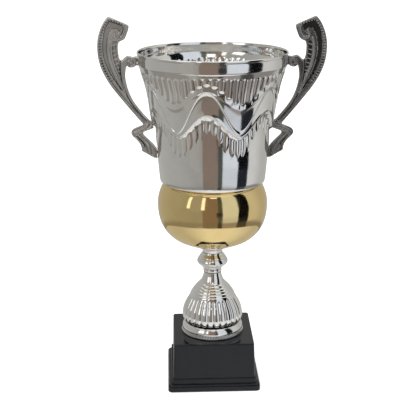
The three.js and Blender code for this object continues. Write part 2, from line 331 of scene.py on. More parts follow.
def iron_material():
    m, nt, b = nodes_of("rough_cast_iron")
    c = coord(nt)
    n1 = noise(nt, c, 90.0, 6.0, 0.65)
    nt.links.new(ramp(nt, n1, [(0.3, (0.045, 0.042, 0.040)), (0.7, (0.10, 0.095, 0.09))]), b.inputs["Base Color"])
    nt.links.new(remap(nt, n1, 0.5, 0.8), b.inputs["Roughness"])
    b.inputs["Metallic"].default_value = 0.8
    bump(nt, b, noise(nt, c, 700.0, 4.0, 0.6), 0.6, 0.0006)
    return m


def board_material():
    m, nt, b = nodes_of("dark_fibreboard")
    c = coord(nt)
    n1 = noise(nt, c, 340.0, 6.0, 0.7)
    nt.links.new(ramp(nt, n1, [(0.3, (0.020, 0.016, 0.013)), (0.7, (0.052, 0.042, 0.033))]), b.inputs["Base Color"])
    nt.links.new(remap(nt, n1, 0.75, 0.92), b.inputs["Roughness"])
    bump(nt, b, noise(nt, c, 1500.0, 3.0, 0.6), 0.5, 0.0003)
    return m


def felt_material():
    m, nt, b = nodes_of("pressed_felt")
    c = coord(nt)
    n1 = noise(nt, c, 900.0, 6.0, 0.75)
    nt.links.new(ramp(nt, n1, [(0.3, (0.006, 0.0065, 0.007)), (0.7, (0.022, 0.023, 0.025))]), b.inputs["Base Color"])
    nt.links.new(remap(nt, n1, 0.86, 1.0), b.inputs["Roughness"])
    b.inputs["Sheen Weight"].default_value = 0.35
    b.inputs["Sheen Roughness"].default_value = 0.5
    v = node(nt, "ShaderNodeTexVoronoi")
    v.inputs["Scale"].default_value = 1600.0
    nt.links.new(c, v.inputs["Vector"])
    bump(nt, b, v.outputs["Distance"], 0.6, 0.0004)
    return m


iron, board, felt_mat = iron_material(), board_material(), felt_material()

# ------------------------------------------------------------------------- cup

AP = -7.3


def interp(z, table):
    t = np.array(sorted(table))
    return np.interp(z, t[:, 0], t[:, 1])


P1 = [(318, 71.9), (320, 72.2), (330, 73.3), (336, 73.9), (348, 75.5), (365, 78.1), (375, 79.7), (385, 81.3), (395, 83.0)]
P0 = [(261, 64.2), (263.2, 64.7), (268.4, 65.3), (278.5, 66.1), (288, 67), (311, 67.7), (318.7, 68.0), (330, 68.3),
      (345, 68.7), (360, 69), (372, 69.2)]
VAL = [(360, 77.0), (370, 78.5), (375, 79.3), (380, 80.3), (385, 81.6), (389.5, 83.05), (394.3, 84.5), (396.7, 85.5),
       (398.8, 86.6), (401, 87.5), (403, 88.3), (404.3, 88.9)]
RIM = [(404.3, 88.9), (404.9, 89.25), (406, 89.45), (411, 89.6), (415.5, 89.45), (416.6, 89.7), (417.3, 90.2),
       (418, 90.3), (418.8, 90.2), (419.4, 89.9), (419.6, 89.4)]
HALF = 3.0


def smooth_table(table, sigma):
    t = np.array(sorted(table))
    z = np.arange(t[0, 0], t[-1, 0] + 0.5, 0.5)
    r = np.interp(z, t[:, 0], t[:, 1])
    k = int(4 * sigma)
    w = np.exp(-0.5 * (np.arange(-k, k + 1) * 0.5 / sigma) ** 2)
    w /= w.sum()
    e = np.r_[2 * r[0] - r[k:0:-1], r, 2 * r[-1] - r[-2:-k - 2:-1]]
    return z, np.convolve(e, w, "valid")


P0z, P0r = smooth_table(P0, 3.0)
P1z, P1r = smooth_table(P1, 3.0)
Vz, Vr = smooth_table(VAL, 1.0)


def lines(phi):
    c6 = np.cos(np.radians(6 * phi))
    return {"B": 317.5 + 15.5 * c6, "R": 327 + 8 * c6, "L": 342.6 + 14.2 * c6, "U": 358.4 + 25.7 * c6,
            "C": 373.5 + 12 * c6, "E": 378.5 + 11.5 * c6}


def cup_radius(phi, z):
    """Outer radius of the chased wall; phi in degrees from a tongue centre, z in mm."""
    phi, z = np.broadcast_arrays(np.asarray(phi, float), np.asarray(z, float))
    L = lines(phi)
    k = np.round(phi / 6.0)
    off = phi - 6.0 * k
    Lk = lines(6.0 * k)
    p0 = np.interp(z, P0z, P0r)
    p1 = np.interp(z, P1z, P1r)
    # plain lower wall and the concave ramp under the swag line
    tau = np.clip((L["L"] - z) / (L["L"] - L["R"]), 0, 1)
    p1L = np.interp(L["L"], P1z, P1r)
    p0L = np.interp(L["L"], P0z, P0r)
    low = p0 + (p1L - p0L) * (1 - tau) ** 4.5
    # lower row of tongues
    hp = np.radians(HALF) * 69.5
    s = np.radians(off) * 69.5
    top = Lk["L"] - 3.2
    zt = np.minimum(top, L["L"] - 2.2) - hp
    zb = Lk["B"] + 2.4 * hp
    zb = np.minimum(zb, zt)
    d = np.abs(s) / hp
    up = np.clip(z - zt, 0, None)
    d = np.where(z > zt, np.hypot(s, up) / hp, d)
    t = np.clip((zb - z) / (2.4 * hp), 0, None)
    d = np.where(z < zb, np.abs(s) / hp + t ** 1.6, d)
    low = low + 1.05 * np.clip(1 - d * d, 0, 1)
    # middle band between the two swag lines
    mid = p1 - 0.40 * (1 - sstep(z, L["U"] - 0.5, L["U"] + 0.3))
    q = (z - L["L"]) / 0.75
    lip = 0.22 * np.clip(1 - q * q, 0, 1)
    mid = np.where(z < L["L"], low, mid) + lip
    q = (z - L["U"]) / 0.85
    mid = mid + 0.55 * np.sqrt(np.clip(1 - q * q, 0, 1))
    # upper row of tongues above the crease
    base = np.interp(z, Vz, Vr)
    hp2 = np.radians(HALF) * 84.5
    s2 = np.radians(off) * 84.5
    ztop = 398.8 - hp2
    zbot = Lk["E"] + hp2
    dn = np.clip(zbot - z, 0, None)
    uu = np.clip(z - ztop, 0, None)
    d2 = np.hypot(s2, np.maximum(dn, uu)) / hp2
    lobe = 1.2 * np.clip(1 - d2 * d2, 0, 1)
    # roll along the crease, below the tongues
    roll = 0.80 * sstep(d2, 1.0, 2.2) * (z < 390)
    upper = base + np.maximum(lobe, roll)
    w = sstep(z, L["C"] - 4.2, L["C"] - 0.2)
    r = mid * (1 - w) + np.maximum(upper, mid) * w
    rim_z, rim_r = np.array(RIM)[:, 0], np.array(RIM)[:, 1]
    return np.where(z >= 404.3, np.interp(z, rim_z, rim_r), r)


def cup_rows(phi, fine=True):
    """z of every row for each column: rows follow the swag lines."""
    L = lines(phi)
    keys = [np.full_like(phi, 263.4), L["B"], L["R"], L["L"] - 7.0, L["L"] - 2.6, L["L"] - 0.8, L["L"] + 0.8,
            L["U"] - 0.9, L["U"] + 0.9, L["C"] - 4.3, L["C"], L["E"], L["E"] + 4.2, np.full_like(phi, 394.4),
            np.full_like(phi, 398.8), np.full_like(phi, 404.3)]
    n = [11, 7, 5, 6, 3, 4, 4, 6, 6, 5, 3, 5, 3, 6, 5] if fine else [6, 4, 3, 3, 2, 2, 3, 3, 3, 3, 2, 3, 2, 3, 3]
    gaps = 0.22
    for i in range(1, len(keys)):
        keys[i] = np.maximum(keys[i], keys[i - 1] + gaps)
    for i in range(len(keys) - 2, -1, -1):
        keys[i] = np.minimum(keys[i], keys[i + 1] - gaps)
    rows = []
    for i, k in enumerate(n):
        for j in range(k):
            t = j / k
            rows.append(keys[i] * (1 - t) + keys[i + 1] * t)
    rows.append(keys[-1])
    return np.array(rows)


def cup_shell():
    n = 600
    phi = -3.0 + np.arange(n) * 360.0 / n
    az = np.radians(phi + AP)
    zo = cup_rows(phi)
    ro = cup_radius(phi[None, :], zo)
    P = [(ro, zo)]
    for z, r in dens(np.array(RIM)[1:], 1.15):
        P.append((np.full((1, n), r), np.full((1, n), z)))
    for r, z in [(88.9, 419.5), (88.5, 419.0), (88.2, 418.2), (88.15, 415), (88.12, 409.5), (88.1, 405.6)]:
        P.append((np.full((1, n), r), np.full((1, n), z)))
    zi = cup_rows(phi, False)[::-1]
    zi = np.maximum(zi - 0.1, 264.2)
    ri = cup_radius(phi[None, :], zi) - 1.15
    P.append((ri, zi))
    for r, z in [(63.2, 263.2), (62.3, 262.7), (60, 262.6), (30, 262.6), (9.5, 262.6), (4.0, 262.6), (3.6, 262.4),
                 (3.6, 261.6), (4.0, 261.4), (9.5, 261.4), (30, 261.4), (56, 261.4), (62.2, 261.4), (63.2, 261.6), (63.9, 262.1),
                 (64.3, 262.8)]:
        P.append((np.full((1, n), r), np.full((1, n), z)))
    r = np.vstack([a for a, _ in P])
    z = np.vstack([b for _, b in P])
    G = np.stack([r * np.sin(az), -r * np.cos(az), z], -1)
    V, F = torus_grid(G)
    return new_mesh("cup_shell", V, F, silver, ["cup_body"], sharp=0)


cup = cup_shell()

# ------------------------------------------------------------------- gold bowl

bulb = [(14.5, 174.0), (18, 175), (23.41, 177), (29.37, 179.7), (34.88, 182.3), (41.12, 185), (46.62, 187.7), (49.95, 190),
        (53.3, 193), (56.02, 195.6), (57.92, 198), (60.11, 201), (61.59, 203.5), (62.89, 206), (64.2, 208.8), (65.02, 211.4),
        (65.89, 214), (66.52, 216.7), (66.96, 219), (67.31, 222), (67.71, 224.5), (67.95, 228), (68.0, 231.5), (67.94, 235),
        (67.84, 237.5), (67.45, 240), (66.95, 242.7), (66.3, 245), (65.41, 247.8), (64.46, 250.4), (63.4, 253), (62.2, 255.6),
        (61.0, 257.8), (59.4, 259.6), (57.5, 260.7), (55, 261.1)]
bo = soft(bulb, 1.1, 2.2)
nn = np.gradient(bo, axis=0)
nn = np.stack([-nn[:, 1], nn[:, 0]], 1) / np.hypot(nn[:, 0], nn[:, 1])[:, None]
bi = (bo + nn * 1.2)[3:-4][::-2]
loop = np.vstack([[(3.6, 174.2), (8, 174.05)], bo, [(54.4, 260.6), (54.6, 259.7)], bi, [(13.5, 175.2), (8, 175.2), (3.6, 175.2)]])
V, F = torus_grid(spin(loop, 180))
new_mesh("bowl_shell", V, F, gold, ["bowl_bulb"], sharp=55)

# ------------------------------------------------------------- foot and stem

STEM_N = 120


def turned(name, pts, mat, rep, n=STEM_N, sharp=40.0):
    V, F = torus_grid(spin(pts, n))
    return new_mesh(name, V, F, mat, rep, sharp=sharp)


collar_out = fillet([(3.6, 167.95), (12.4, 167.95), (12.75, 168.3), (12.8, 170.0), (13.3, 171.6), (14.3, 172.8), (15.0, 173.3),
                     (15.0, 173.65), (3.6, 173.65)], 0.35, 3)
turned("bowl_collar_turned", collar_out, silver, ["bowl_collar"])

knob = fillet([(3.6, 145.75), (11.3, 145.75), (11.6, 146.2), (12.9, 147.5), (15.1, 150.0), (17.2, 151.9), (18.35, 152.85),
               (18.6, 153.9), (19.25, 154.5), (19.45, 155.4), (19.4, 156.6), (18.95, 157.9), (18.1, 159.4), (17.35, 160.6),
               (16.7, 161.0), (16.75, 161.6), (16.2, 162.6), (15.2, 163.8), (14.1, 165.1), (13.2, 166.3), (12.95, 167.2),
               (12.7, 167.6), (3.6, 167.6)], 0.6, 3)
turned("stem_knob_turned", knob, silver, ["stem_knob"])
neck = fillet([(3.6, 141.65), (10.9, 141.65), (11.5, 142.3), (11.8, 143.5), (11.5, 144.7), (10.9, 145.35), (3.6, 145.35)], 0.7, 4)
turned("neck_bead_ring", neck, silver, ["neck_ring"])


def bell_shell():
    body = soft([(36.2, 77.6), (37.4, 79), (38.2, 81), (38.5, 84), (38.4, 87), (37.91, 89.7), (37.21, 92.5), (36.38, 95.3),
                 (35.25, 98), (33.96, 100.8), (32.17, 103.6), (30.75, 106.4), (29.12, 109), (27.88, 112), (26.55, 114.6),
                 (24.52, 117.4), (22.84, 120), (20.2, 123), (17.47, 125.6), (15.21, 128.4), (13.63, 131), (12.62, 133.8),
                 (11.74, 136.6), (11.18, 139), (11.2, 141.3)], 0.42, 0.9)
    n = 392
    a = np.arange(n) * 2 * math.pi / n
    v = np.abs(((a * 28 / (2 * math.pi)) % 1.0) - 0.5) * 2.0
    rows, painted_shade_rows = [], []
    marks = [110.2, 114.2, 117.6, 120.8, 124.2, 127.5]
    for r, z in body:
        lift = 0.0
        for lo, hi in zip(marks[:-1], marks[1:]):
            if lo <= z <= hi:
                t = 2 * (z - lo) / (hi - lo) - 1
                lift = 0.95 * math.sqrt(max(1 - t * t, 0)) - 0.55
        rr, zz = r + 0.6 * lift, z + 0.45 * lift
        D = 1.25 * float(sstep(np.array(111.5 - z), 0.0, 5.0))
        # gadroon: convex between the notches, ends scalloped
        s = float(sstep(np.array(88.0 - z), 0.0, 10.5))
        row_r = rr - D * v ** 2.8
        row_z = zz + 3.8 * s * v ** 4
        rows.append((row_r, row_z))
        # painted shade: rows below about z 79 mm, on the curled lower edge of the bell, are marked near-black
        painted_shade_rows.append(np.full(n, 0.85 * (1 - float(sstep(np.array(z), 77.9, 79.0)))))
    under = [(34.9, 77.3), (33.4, 77.9), (32.6, 78.7), (31.2, 78.75), (29.8, 78.8), (29.6, 79.6), (29.6, 81.2), (32.6, 82.4),
             (35.3, 83.8), (35.4, 88.0), (33.8, 94), (31.4, 100.2), (27.2, 107), (22.4, 114.4), (18.0, 121.4), (14.8, 124.6),
             (12.0, 127.8), (10.0, 134), (8.9, 138.7), (6, 138.8), (3.6, 138.8), (3.6, 140), (3.6, 141.3), (7.5, 141.3)]
    full = [(rr, zz) for rr, zz in rows]
    tail = [(np.full(n, r), np.full(n, z)) for r, z in reversed(under)]
    allr = full + tail
    r = np.array([x for x, _ in allr])
    z = np.array([y for _, y in allr])
    G = np.stack([r * np.sin(a), -r * np.cos(a), z], -1)
    V, F = torus_grid(G)
    # the inner face of the bell is marked with painted shade as well
    shade_vals = np.concatenate(painted_shade_rows + [np.full(n, 0.9)] * len(under))
    return new_mesh("gadrooned_foot_bell", V, F, silver, ["foot_bell"], sharp=50, point_attr={"painted_shade": shade_vals})


bell_shell()


def foot_ring_mesh():
    n = 120 * 5
    a = np.arange(n) * 2 * math.pi / n
    out = soft([(38.9, 61.85), (39.4, 62.0), (39.7, 62.4), (39.7, 63.0), (39.35, 64.4), (39.0, 65.8), (38.7, 67.2), (38.75, 68.0), (38.7, 68.8),
                (38.3, 70.5), (37.5, 72.2), (36.9, 73.2)], 0.42, 0.3)
    roll = soft([(36.75, 73.35), (36.5, 73.9), (35.6, 75.0), (34.2, 75.95), (32.8, 76.4), (31.5, 76.4), (31.1, 76.9), (31.0, 78.2)], 0.4, 0.35)
    rows_r, rows_z, painted_shade_rows = [], [], []
    for r, z in out:
        amp = 0.40 * float(sstep(np.array(z), 62.3, 62.9) * (1 - sstep(np.array(z), 66.6, 67.2)))
        ph = 120 * a + (z - 62) * 0.5
        g = amp * (np.abs(np.sin(ph / 2)) * 2 - 1.5)
        rows_r.append(r + g)
        rows_z.append(np.full(n, z))
        # painted shade in the troughs of the milled band
        painted_shade_rows.append(np.where(g < -0.45 * amp, 0.8 * (amp > 0.1), 0.0))
    for r, z in list(roll) + [(30.6, 78.35), (30.0, 78.4), (29.7, 78.2), (29.6, 77.5), (29.6, 70), (29.6, 62.3), (29.8, 61.9), (30.2, 61.8),
                              (34, 61.8)]:
        rows_r.append(np.full(n, r))
        rows_z.append(np.full(n, z))
        # painted shade on the top of the roll, under the bell's edge
        painted_shade_rows.append(np.full(n, 0.8 * float(sstep(np.array(z), 74.6, 75.8))))
    r, z = np.array(rows_r), np.array(rows_z)
    G = np.stack([r * np.sin(a), -r * np.cos(a), z], -1)
    V, F = torus_grid(G)
    return new_mesh("milled_foot_ring", V, F, silver, ["foot_ring"], sharp=50,
                    point_attr={"painted_shade": np.concatenate(painted_shade_rows)})


foot_ring_mesh()

# ---------------------------------------------------------------------- plinth


def square_loop(half, corner, steps=8, sides=6):
    c = half - corner
    pts = []
    for sx, sy, a0 in [(1, 1, 0), (-1, 1, 90), (-1, -1, 180), (1, -1, 270)]:
        for i in range(steps + 1):
            a = math.radians(a0 + 90 * i / steps)
            pts.append((sx * c + corner * math.cos(a), sy * c + corner * math.sin(a)))
        end = {0: (-1, 1), 90: (-1, -1), 180: (1, -1), 270: (1, 1)}[a0]
        x0, y0 = pts[-1]
        if a0 == 0:
            x1, y1 = -c, half
        elif a0 == 90:
            x1, y1 = -half, -c
        elif a0 == 180:
            x1, y1 = c, -half
        else:
            x1, y1 = half, c
        for k in range(1, sides):
            t = k / sides
            pts.append((x0 + (x1 - x0) * t, y0 + (y1 - y0) * t))
    return np.array(pts)


def stack(levels):
    """levels: ('s', half, corner, z) or ('c', radius, z)."""
    ref = square_loop(50, 4)
    ang = np.arctan2(ref[:, 1], ref[:, 0])
    rows = []
    for lv in levels:
        if lv[0] == "s":
            p = square_loop(lv[1], lv[2])
            rows.append(np.c_[p, np.full(len(p), lv[3])])
        else:
            rows.append(np.c_[lv[1] * np.cos(ang), lv[1] * np.sin(ang), np.full(len(ang), lv[2])])
    return np.array(rows)


def plinth_levels():
    L = [("s", 57.75, 5.3, 0.5), ("s", 58.0, 5.5, 0.8), ("s", 58.0, 5.5, 3.0), ("s", 58.0, 5.5, 5.9)]
    for k in range(1, 9):
        t = math.radians(90 * k / 8)
        L.append(("s", 58.0 - 3.6 * (1 - math.cos(t)), 5.5 - 1.0 * (k / 8), 6.0 + 3.6 * math.sin(t)))
    L += [("s", 53.95, 4.2, 9.6), ("s", 53.6, 4.1, 9.45), ("s", 53.45, 4.0, 9.6), ("s", 53.4, 4.0, 10.0), ("s", 53.4, 4.0, 13.0)]
    for k in range(0, 5):
        t = math.radians(90 * k / 4)
        L.append(("s", 53.4 - 0.9 * (1 - math.cos(t)), 4.0, 15.3 + 0.9 * math.sin(t)))
    L += [("s", 51.95, 3.7, 16.2), ("s", 51.75, 3.6, 16.05), ("s", 51.65, 3.5, 16.3), ("s", 51.6, 3.5, 17.0)]
    for z in (22, 30, 38, 46, 54, 59.4):
        L.append(("s", 51.6 - 1.3 * (z - 17) / 43.3, 3.5, z))
    for k in range(0, 6):
        t = math.radians(90 * k / 5)
        L.append(("s", 50.35 - 1.2 * (1 - math.cos(t)), 3.5 - 0.7 * (k / 5), 60.3 + 1.2 * math.sin(t)))
    L += [("s", 46, 3.0, 61.5), ("s", 30, 8.0, 61.5), ("c", 9.0, 61.5), ("c", 4.0, 61.5), ("c", 3.6, 61.2), ("c", 3.6, 60), ("c", 3.6, 58.7),
          ("c", 4.0, 58.5), ("c", 12.0, 58.5), ("s", 30, 8.0, 58.5), ("s", 46.4, 2.4, 58.5), ("s", 47.1, 2.4, 57.9), ("s", 47.4, 2.4, 40),
          ("s", 47.75, 2.5, 6), ("s", 47.9, 2.5, 4.2), ("s", 48.2, 2.6, 4.0), ("s", 54.8, 3.3, 4.0), ("s", 55.2, 3.4, 3.8), ("s", 55.2, 3.4, 2.0),
          ("s", 55.3, 3.5, 0.7), ("s", 55.6, 3.6, 0.5)]
    return L


V, F = torus_grid(stack(plinth_levels()))
new_mesh("moulded_plinth", V, F, plastic, ["plinth"], sharp=40)

# ------------------------------------------------------------------------ felt


def felt_mesh():
    n = 220
    rng = np.random.default_rng(7)
    half, corner = 54.9, 3.2
    c = half - corner
    t = np.arange(n) / n * 2 * math.pi
    # rounded square by marching its outline
    loop = []
    base = square_loop(half, corner, 6, 49)
    wob = np.convolve(np.r_[rng.normal(0, 1, 400)][:len(base) + 6], np.ones(3) / 3, "same")[:len(base)]
    for k, (x, y) in enumerate(base):
        r = math.hypot(x, y)
        f = (r - 0.16 - 0.12 * abs(wob[k])) / r
        loop.append((x * f, y * f))
    loop = np.array(loop)
    rows = []
    rings = [(0.20, 0.02), (0.6, 0.0), (0.93, 0.0), (0.985, 0.02), (1.0, 0.35), (1.0, 0.75), (1.0, 1.15), (0.985, 1.46), (0.93, 1.5),
             (0.6, 1.5), (0.20, 1.5)]
    for s, z in rings:
        rows.append(np.c_[loop * s, np.full(len(loop), z)])
    V, F = capped_grid(np.array(rows), (0, 0, 0.0), (0, 0, 1.5))
    return new_mesh("felt_sheet", V, F, felt_mat, ["felt_pad"], sharp=50)


felt = felt_mesh()

# -------------------------------------------------------------------- hardware


def thread_rod():
    n = 24
    a = np.arange(n) * 2 * math.pi / n
    zs = np.r_[np.arange(42.0, 60.0, 0.16), [62, 90, 130, 170, 210, 250], np.arange(261.5, 272.4, 0.16)]
    rows = []
    z0, z1 = 41.05, 272.95
    for r, z in [(1.4, z0), (2.5, z0), (2.7, z0 + 0.25)]:
        rows.append((np.full(n, r), np.full(n, z)))
    for z in zs:
        threaded = z < 60 or z > 261
        tri = np.abs(((z / 1.0 - a / (2 * math.pi)) % 1.0) * 2 - 1)
        r = 2.62 + 0.33 * tri if threaded else np.full(n, 2.72)
        rows.append((r, np.full(n, z)))
    for r, z in [(2.6, z1 - 0.25), (2.3, z1), (1.2, z1)]:
        rows.append((np.full(n, r), np.full(n, z)))
    r = np.array([x for x, _ in rows])
    z = np.array([y for _, y in rows])
    G = np.stack([r * np.sin(a), -r * np.cos(a), z], -1)
    V, F = capped_grid(G, (0, 0, z0), (0, 0, z1))
    return new_mesh("threaded_tie_rod", V, F, steel, ["tie_rod"], sharp=30)


thread_rod()


def hex_nut(name, z0, rep):
    n = 96
    a = np.arange(n) * 2 * math.pi / n
    af = 4.98
    hexr = af / np.cos(((a + math.pi / 6) % (math.pi / 3)) - math.pi / 6)
    rows = [(3.15, 0.25), (3.45, 0.0), (4.6, 0.0)]
    prof = []
    for r, z in rows:
        prof.append((np.full(n, r), np.full(n, z + z0)))
    for z in (0.06, 0.3, 0.55, 0.8, 2.5, 4.2, 4.45, 4.7, 4.94):
        cone = 4.85 + 1.9 * min(z, 5.0 - z) / 1.0
        prof.append((np.minimum(hexr, cone), np.full(n, z + z0)))
    for r, z in [(4.6, 5.0), (3.45, 5.0), (3.15, 4.75), (3.15, 2.5)]:
        prof.append((np.full(n, r), np.full(n, z + z0)))
    r = np.array([x for x, _ in prof])
    z = np.array([y for _, y in prof])
    G = np.stack([r * np.sin(a), -r * np.cos(a), z], -1)
    V, F = torus_grid(G)
    return new_mesh(name, V, F, steel, rep, sharp=25)


hex_nut("cup_nut_hex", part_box("cup_nut")[0].z * 1000, ["cup_nut"])
hex_nut("base_nut_hex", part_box("base_nut")[0].z * 1000, ["base_nut"])


def washer_mesh(name, rin, rout, z0, z1, place, rep):
    e = min(0.22, (z1 - z0) * 0.3)
    p = [(rin, z0 + e), (rin + e, z0), (rout - e, z0), (rout, z0 + e), (rout, z1 - e), (rout - e, z1), (rin + e, z1), (rin, z1 - e)]
    V, F = torus_grid(spin(p, 64))
    if place is not None:
        V = np.array([place @ Vector(v) for v in V])
    return new_mesh(name, V, outward(V, F), steel, rep, sharp=30)


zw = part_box("cup_washer")
washer_mesh("cup_washer_flat", 3.3, 8.98, zw[0].z * 1000, zw[1].z * 1000, None, ["cup_washer"])
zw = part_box("base_washer")
washer_mesh("base_washer_flat", 3.3, 8.98, zw[0].z * 1000, zw[1].z * 1000, None, ["base_washer"])


def screw_grid():
    """Pan-head screw with a cross recess; shank along +Z from the origin."""
    n = 64
    a = np.arange(n) * 2 * math.pi / n
    head = [(0.35, -2.6), (0.7, -2.6), (1.0, -2.6), (1.3, -2.6), (1.6, -2.59), (1.9, -2.57), (2.3, -2.48), (2.9, -2.2), (3.4, -1.8), (3.75, -1.3),
            (3.88, -0.8), (3.88, -0.25), (3.7, -0.02), (2.3, 0.0)]
    rows = []
    for r, z in head:
        x, y = r * np.cos(a), r * np.sin(a)
        arm = np.minimum(np.abs(x), np.abs(y))
        d = (1 - sstep(arm, 0.42, 0.62)) * (1 - sstep(np.full(n, r), 1.6, 2.0)) * 1.3
        rows.append((np.full(n, r), z + (d if z < -2.0 else 0 * d)))
    for k in range(0, 73):
        z = 0.1 + k * 0.155
        tri = np.abs(((z / 0.7 - a / (2 * math.pi)) % 1.0) * 2 - 1)
        rows.append((1.72 + 0.24 * tri, np.full(n, z)))
    rows.append((np.full(n, 1.2), np.full(n, 11.95)))
    r = np.array([x for x, _ in rows])
    z = np.array([y for _, y in rows])
    G = np.stack([r * np.cos(a), r * np.sin(a), z], -1)
    return capped_grid(G, (0, 0, -1.3), (0, 0, 11.95))


SV, SF = screw_grid()
for side, sname in [(-1, "left"), (1, "right")]:
    for z, level, wall in [(409.0, "upper", 88.1), (297.0, "lower", 66.0)]:
        face = wall - 0.5
        rot = Matrix.Rotation(side * math.pi / 2, 4, "Y")
        pw = Matrix.Translation(Vector((side * face, 0, z))) @ rot
        washer_mesh(f"wall_washer_{sname}_{level}", 2.3, 3.98, -0.8, 0.0, pw, [f"handle_washer_{sname}_{level}"])
        ps = Matrix.Translation(Vector((side * (face - 0.8 - 0.3), 0, z))) @ rot
        V = np.array([ps @ Vector(v) for v in SV])
        new_mesh(f"wall_screw_{sname}_{level}", V, outward(V, SF), steel, [f"handle_screw_{sname}_{level}"], sharp=30)

# --------------------------------------------------------------------- handles

OUT = [
    (67.45, 289.6), (70.0, 289.9), (73.0, 291.0), (76.0, 293.0), (80.0, 295.4), (84.3, 297.7), (86.0, 299.2), (86.5, 302.5),
    (87.5, 306.2), (89.3, 309.5), (92.2, 313.0), (95.3, 316.0), (97.6, 318.6), (98.6, 321.2), (98.0, 323.6), (96.5, 325.3),
    (93.5, 327.0), (90.0, 328.4), (87.0, 329.6), (84.9, 330.6), (84.2, 331.8), (85.0, 333.6), (86.9, 335.8), (90.5, 340.0),
    (95.5, 346.0), (100.5, 352.0), (105.0, 357.6), (109.5, 363.3), (113.7, 368.6), (117.6, 373.6), (121.2, 378.6), (124.4, 383.6),
    (127.3, 388.7), (129.8, 393.7), (131.9, 398.6), (133.6, 403.6), (135.6, 413.4), (136.2, 423.4), (136.0, 428.4), (135.3, 434.4),
    (134.1, 439.4), (132.6, 444.0), (130.7, 448.4), (128.5, 452.6), (126.0, 456.2), (123.3, 459.4), (121.6, 459.6),
    (118.0, 458.2), (112.0, 455.6), (106.0, 453.1), (100.5, 450.6), (99.2, 449.7), (98.7, 448.0), (99.2, 445.0), (100.3, 442.0),
    (102.8, 435.9), (104.0, 434.1), (106.0, 432.7), (108.5, 431.6), (110.5, 430.3), (111.4, 428.2), (111.9, 424.0), (111.8, 419.0),
    (111.3, 414.0), (110.4, 410.6), (109.2, 408.7), (107.6, 409.0), (105.4, 411.0), (103.0, 413.1), (101.0, 414.1), (99.0, 413.9),
    (96.8, 413.2), (94.5, 412.9), (91.5, 413.3), (90.0, 413.35), (90.0, 405.0), (89.2, 403.9), (88.35, 402.9), (90.7, 402.9),
    (92.0, 401.9), (94.5, 400.8), (97.0, 400.5), (99.5, 401.0), (101.2, 402.6), (102.5, 401.2), (103.3, 398.5), (104.1, 391.0),
    (103.8, 386.0), (103.0, 381.5), (101.9, 376.5), (100.2, 371.0), (98.0, 365.5), (95.3, 360.3), (92.3, 355.6), (88.8, 350.8),
    (85.0, 346.2), (81.0, 341.5), (77.5, 337.5), (75.6, 336.0), (74.3, 335.7), (73.2, 332.5), (71.4, 327.4), (74.0, 326.1),
    (77.0, 325.0), (80.5, 323.8), (83.3, 322.4), (84.2, 320.8), (83.6, 318.7), (81.5, 316.3), (78.5, 313.4), (75.5, 310.5),
    (72.8, 307.7), (70.5, 304.9), (69.0, 302.8), (67.9, 301.8), (67.85, 300.0),
]


def outline_curve(step=0.5):
    p = np.array(OUT)
    n = len(p)
    sharp = []
    for i in range(n):
        a, b = p[i] - p[i - 1], p[(i + 1) % n] - p[i]
        ang = abs(math.degrees(math.atan2(a[0] * b[1] - a[1] * b[0], a @ b)))
        sharp.append(ang > 42)
    out = []
    for i in range(n):
        j = (i + 1) % n
        a, b = p[i], p[j]
        ta = (b - p[i - 1]) / 2 if not sharp[i] else (b - a)
        tb = (p[(j + 1) % n] - a) / 2 if not sharp[j] else (b - a)
        L = np.linalg.norm(b - a)
        ta = ta / max(np.linalg.norm(ta), 1e-6) * L
        tb = tb / max(np.linalg.norm(tb), 1e-6) * L
        k = max(int(math.ceil(L / step)), 1)
        for m in range(k):
            t = m / k
            h = (2 * t ** 3 - 3 * t ** 2 + 1) * a + (t ** 3 - 2 * t ** 2 + t) * ta + (-2 * t ** 3 + 3 * t ** 2) * b + (t ** 3 - t ** 2) * tb
            out.append(h)
    q = np.array(out)
    # stay clear of the cup wall
    wall = cup_radius(np.full(len(q), 90.0 - AP), q[:, 1]) + 0.35
    wall2 = cup_radius(np.full(len(q), -90.0 - AP), q[:, 1]) + 0.35
    q[:, 0] = np.maximum(q[:, 0], np.maximum(wall, wall2))
    return q


def seg_dist(P, Q, closed=False):
    """Distance from points P to the polyline Q."""
    A = Q if closed else Q[:-1]
    B = np.roll(Q, -1, 0) if closed else Q[1:]
    best = np.full(len(P), 1e9)
    for k in range(0, len(A), 60):
        a, b = A[k:k + 60], B[k:k + 60]
        ab = b - a
        L2 = (ab ** 2).sum(1) + 1e-12
        ap = P[:, None, :] - a[None]
        t = np.clip((ap * ab[None]).sum(2) / L2[None], 0, 1)
        d = np.hypot(ap[..., 0] - t * ab[None, :, 0], ap[..., 1] - t * ab[None, :, 1])
        best = np.minimum(best, d.min(1))
    return best


def inside(P, Q):
    x, y = P[:, 0], P[:, 1]
    r = np.zeros(len(P), bool)
    A, B = Q, np.roll(Q, -1, 0)
    for (x0, y0), (x1, y1) in zip(A, B):
        if y0 == y1:
            continue
        m = (y0 > y) != (y1 > y)
        xi = (x1 - x0) * (y - y0) / (y1 - y0) + x0
        r ^= m & (x < xi)
    return r


def sm(pts, closed=False, sigma=0.8):
    q = np.array(pts, float)
    if closed:
        e = dens(np.vstack([q, q[:1]]), 0.3)[:-1]
        k = int(3 * sigma / 0.3)
        w = np.exp(-0.5 * (np.arange(-k, k + 1) * 0.3 / sigma) ** 2)
        w /= w.sum()
        e = np.vstack([e[-k:], e, e[:k]])
        return dens(np.stack([np.convolve(e[:, i], w, "valid") for i in range(2)], 1), 0.6)
    return soft(q, 0.6, sigma)


